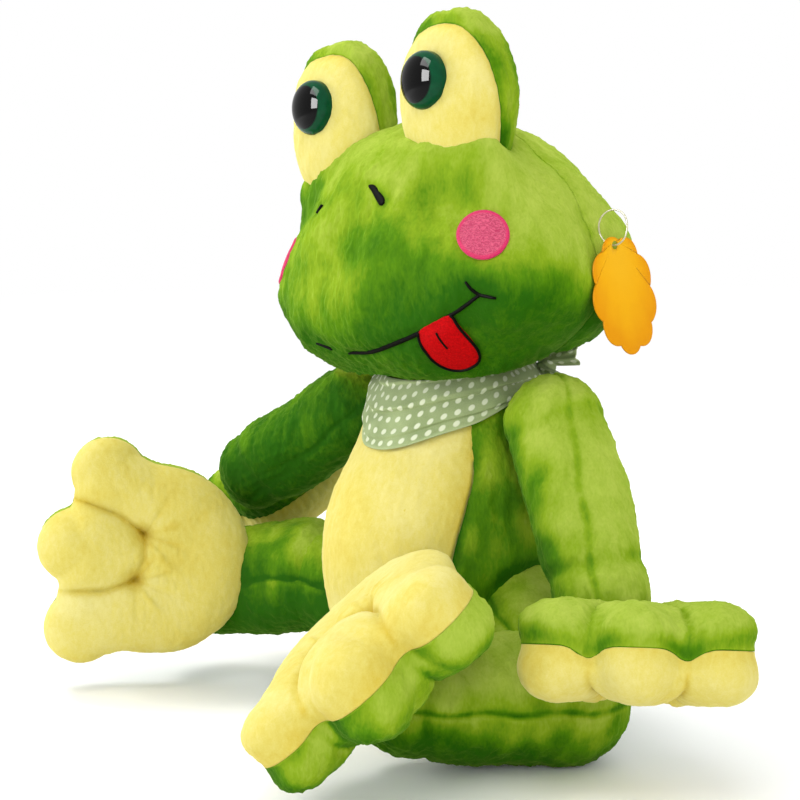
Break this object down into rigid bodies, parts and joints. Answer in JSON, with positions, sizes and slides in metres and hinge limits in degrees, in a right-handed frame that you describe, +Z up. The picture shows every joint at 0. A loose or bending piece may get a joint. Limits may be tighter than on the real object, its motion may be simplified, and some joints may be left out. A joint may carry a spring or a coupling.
{
  "type": "plush frog",
  "caption": "Sitting plush frog with stalked eyes, flat hands and feet and a neckerchief; its head, arms and legs turn on stuffed joints.",
  "frame": {"origin": "middle of the flat patch that the seat rests on", "axes": "+Z up, the face looks toward -Y, +X is the frog's left"},
  "size_m": [0.4544, 0.2675, 0.3838],
  "materials": {
    "green_plush": "short pile plush, brushed",
    "yellow_velboa": "very short smooth pile",
    "cheek_thread": "filled machine embroidery",
    "tongue_felt": "smooth felt with a black stitched edge",
    "dotted_cotton": "thin printed cotton, gathered",
    "eye_dome": "clear dome over black and dark green",
    "eye_washer": "moulded, hidden",
    "tag_card": "coated card, bare",
    "nylon_strand": "drawn strand"
  },
  "bodies": {
    "body": {"torso": "green_plush", "belly_panel": "yellow_velboa", "neckerchief": "dotted_cotton", "neckerchief_knot": "dotted_cotton"},
    "head": {"head_face": "green_plush", "head_back": "green_plush", "left_eye_stalk": "green_plush", "left_eye_panel": "yellow_velboa", "left_eye": "eye_dome", "left_eye_washer": "eye_washer", "right_eye_stalk": "green_plush", "right_eye_panel": "yellow_velboa", "right_eye": "eye_dome", "right_eye_washer": "eye_washer", "left_cheek_patch": "cheek_thread", "right_cheek_patch": "cheek_thread", "tongue": "tongue_felt", "tag_loop": "nylon_strand"},
    "tag": {"hang_tag": "tag_card"},
    "left_arm": {"left_arm": "green_plush", "left_hand_back": "green_plush", "left_hand_palm": "yellow_velboa"},
    "left_thigh": {"left_thigh": "green_plush"},
    "left_shin": {"left_shin": "green_plush", "left_foot_upper": "green_plush", "left_foot_sole": "yellow_velboa"},
    "right_arm": {"right_arm": "green_plush", "right_hand_back": "green_plush", "right_hand_palm": "yellow_velboa"},
    "right_thigh": {"right_thigh": "green_plush"},
    "right_shin": {"right_shin": "green_plush", "right_foot_upper": "green_plush", "right_foot_sole": "yellow_velboa"}
  },
  "joints": [
    {"name": "head_turn", "type": "hinge", "parent": "body", "child": "head", "pos_m": [0, 0, 0.202], "axis": [0, -0.2588, 0.9659], "range_deg": [-25, 25]},
    {"name": "left_shoulder_swing", "type": "hinge", "parent": "body", "child": "left_arm", "pos_m": [0.08, 0, 0.17], "axis": [-1, 0, 0], "range_deg": [-60, 3]},
    {"name": "left_hip_swing", "type": "hinge", "parent": "body", "child": "left_thigh", "pos_m": [0.054, -0.002, 0.06], "axis": [-1, 0, 0], "range_deg": [0, 12]},
    {"name": "left_knee_bend", "type": "hinge", "parent": "left_thigh", "child": "left_shin", "pos_m": [0.09922, -0.01353, 0.03284], "axis": [0, 0, 1], "range_deg": [0, 10]},
    {"name": "right_shoulder_swing", "type": "hinge", "parent": "body", "child": "right_arm", "pos_m": [-0.08, 0, 0.17], "axis": [-1, 0, 0], "range_deg": [-60, 3]},
    {"name": "right_hip_swing", "type": "hinge", "parent": "body", "child": "right_thigh", "pos_m": [-0.054, -0.002, 0.06], "axis": [-1, 0, 0], "range_deg": [0, 5]},
    {"name": "right_knee_bend", "type": "hinge", "parent": "right_thigh", "child": "right_shin", "pos_m": [-0.10434, -0.02052, 0.06621], "axis": [0, 0, 1], "range_deg": [0, 20]},
    {"name": "tag_swing", "type": "hinge", "parent": "head", "child": "tag", "pos_m": [0.10219, 0.01682, 0.26272], "axis": [-0.1564, 0.9877, 0], "range_deg": [-45, 0]}
  ]
}
